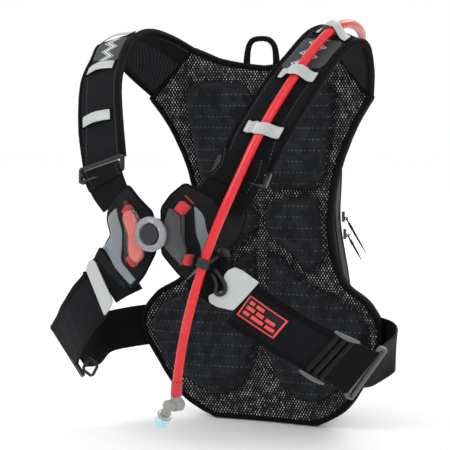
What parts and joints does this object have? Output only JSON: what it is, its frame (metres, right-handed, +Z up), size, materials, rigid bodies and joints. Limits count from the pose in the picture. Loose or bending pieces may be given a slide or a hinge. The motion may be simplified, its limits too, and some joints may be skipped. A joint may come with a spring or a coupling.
{
  "type": "hydration pack",
  "caption": "Slim hydration pack: waisted padded back panel, zipped bag, crossed chest harness with ring buckle and red drink tube with bite valve.",
  "frame": {"origin": "on the base plane, at the middle of the back panel's rear face", "axes": "+Z up, -Y towards the wearer, +X to the wearer's left"},
  "size_m": [0.4262, 0.4159, 0.4762],
  "materials": {
    "panel_mesh": "3D spacer mesh",
    "pad_mesh": "knitted mesh over foam",
    "binding_tape": "woven tape",
    "pack_fabric": "coated nylon",
    "base_fabric": "coated nylon",
    "zipper_tape": "coil zipper",
    "slider_metal": "satin",
    "pull_cord": "braided cord",
    "strap_fabric": "twill over foam",
    "reflective": "reflective tape",
    "grey_patch": "printed fabric",
    "webbing": "nylon webbing",
    "side_mesh": "elastic mesh",
    "black_plastic": "satin",
    "plate_fabric": "moulded fabric",
    "red_webbing": "nylon webbing",
    "clear_plastic": "clear moulded",
    "button_plastic": "satin",
    "label_fabric": "printed label",
    "red_tube": "glossy tube",
    "valve_grey": "satin",
    "valve_clear": "clear",
    "valve_silicone": "silicone",
    "bladder_film": "soft film",
    "reservoir_plastic": "moulded",
    "connector_plastic": "moulded",
    "clear_hose": "tube"
  },
  "bodies": {
    "pack": {"back_panel": "panel_mesh", "back_pads": "pad_mesh", "panel_binding": "binding_tape", "bag_shell": "pack_fabric", "front_pocket": "pack_fabric", "bag_base": "base_fabric", "main_zipper": "zipper_tape", "pocket_zipper": "zipper_tape", "shoulder_strap_left": "strap_fabric", "shoulder_strap_right": "strap_fabric", "strap_loops_left": "reflective", "strap_loops_right": "reflective", "reflective_tab_left": "reflective", "reflective_tab_right": "reflective", "strap_patch_left": "grey_patch", "strap_patch_right": "grey_patch", "plate_insert_left": "grey_patch", "plate_insert_right": "grey_patch", "chest_webbing_left": "webbing", "chest_webbing_right": "webbing", "lower_webbing_left": "webbing", "lower_webbing_right": "webbing", "waist_band_left": "webbing", "waist_band_right": "webbing", "haul_loop": "webbing", "side_strap_left": "side_mesh", "side_strap_right": "side_mesh", "ladder_lock_left": "black_plastic", "ladder_lock_right": "black_plastic", "side_ring_left": "black_plastic", "side_ring_right": "black_plastic", "tri_glide_left": "black_plastic", "tube_clip": "black_plastic", "hose_port": "black_plastic", "buckle_arm_half": "black_plastic", "chest_plate_left": "plate_fabric", "chest_plate_right": "plate_fabric", "red_loops_left": "red_webbing", "red_loops_right": "red_webbing", "strap_label": "label_fabric", "drink_tube": "red_tube", "tube_sleeve": "red_tube", "reservoir": "bladder_film", "reservoir_bar": "reservoir_plastic", "hose_outlet": "reservoir_plastic", "inner_hose": "clear_hose"},
    "upper_slider": {"upper_slider": "slider_metal"},
    "upper_pull": {"upper_pull": "pull_cord"},
    "lower_slider": {"lower_slider": "slider_metal"},
    "lower_pull": {"lower_pull": "pull_cord"},
    "pocket_slider": {"pocket_slider": "slider_metal"},
    "pocket_pull": {"pocket_pull": "pull_cord"},
    "ring_half": {"buckle_ring_half": "clear_plastic"},
    "release_button": {"buckle_button": "button_plastic"},
    "reservoir_cap": {"reservoir_cap": "reservoir_plastic"},
    "connector_button": {"connector_button": "connector_plastic"},
    "valve_elbow": {"valve_elbow": "valve_grey"},
    "bite_valve": {"valve_body": "valve_grey", "valve_ring": "valve_clear", "mouthpiece": "valve_silicone"}
  },
  "joints": [
    {"name": "buckle_swing", "type": "hinge", "parent": "pack", "child": "ring_half", "pos_m": [-0.033, -0.279, 0.251], "axis": [0, 0, -1], "range_deg": [0, 55]},
    {"name": "buckle_press", "type": "slide", "parent": "pack", "child": "release_button", "axis": [0, 1, 0], "range_m": [0, 0.002], "stiffness_N_per_m": 600},
    {"name": "upper_slide", "type": "slide", "parent": "pack", "child": "upper_slider", "axis": [0.0422, 0, 0.9991], "range_m": [0, 0.045]},
    {"name": "upper_pull_swing", "type": "hinge", "parent": "upper_slider", "child": "upper_pull", "pos_m": [0.07476, 0.06152, 0.242], "axis": [0.4067, -0.9135, 0], "range_deg": [0, 120]},
    {"name": "lower_slide", "type": "slide", "parent": "pack", "child": "lower_slider", "axis": [0.1989, 0, -0.98], "range_m": [0, 0.034]},
    {"name": "lower_pull_swing", "type": "hinge", "parent": "lower_slider", "child": "lower_pull", "pos_m": [0.07377, 0.0681, 0.221], "axis": [0.4067, -0.9135, 0], "range_deg": [0, 120]},
    {"name": "pocket_slide", "type": "slide", "parent": "pack", "child": "pocket_slider", "axis": [0, 0, -1], "range_m": [0, 0.115]},
    {"name": "pocket_pull_swing", "type": "hinge", "parent": "pocket_slider", "child": "pocket_pull", "pos_m": [0, 0.119, 0.216], "axis": [1, 0, 0], "range_deg": [0, 120]},
    {"name": "cap_turn", "type": "hinge", "parent": "pack", "child": "reservoir_cap", "pos_m": [-0.006, 0.058, 0.25], "axis": [0, 1, 0], "range_deg": [0, 270]},
    {"name": "connector_press", "type": "slide", "parent": "pack", "child": "connector_button", "axis": [0, -1, 0], "range_m": [0, 0.0015], "stiffness_N_per_m": 400},
    {"name": "valve_swivel", "type": "hinge", "parent": "pack", "child": "valve_elbow", "pos_m": [0.022, -0.276, 0.08], "axis": [-0.1822, 0.1518, -0.9715], "continuous": true},
    {"name": "valve_shutoff", "type": "hinge", "parent": "valve_elbow", "child": "bite_valve", "pos_m": [0.02, -0.27433, 0.06931], "axis": [-0.3998, -0.9166, 0], "range_deg": [0, 90]}
  ]
}
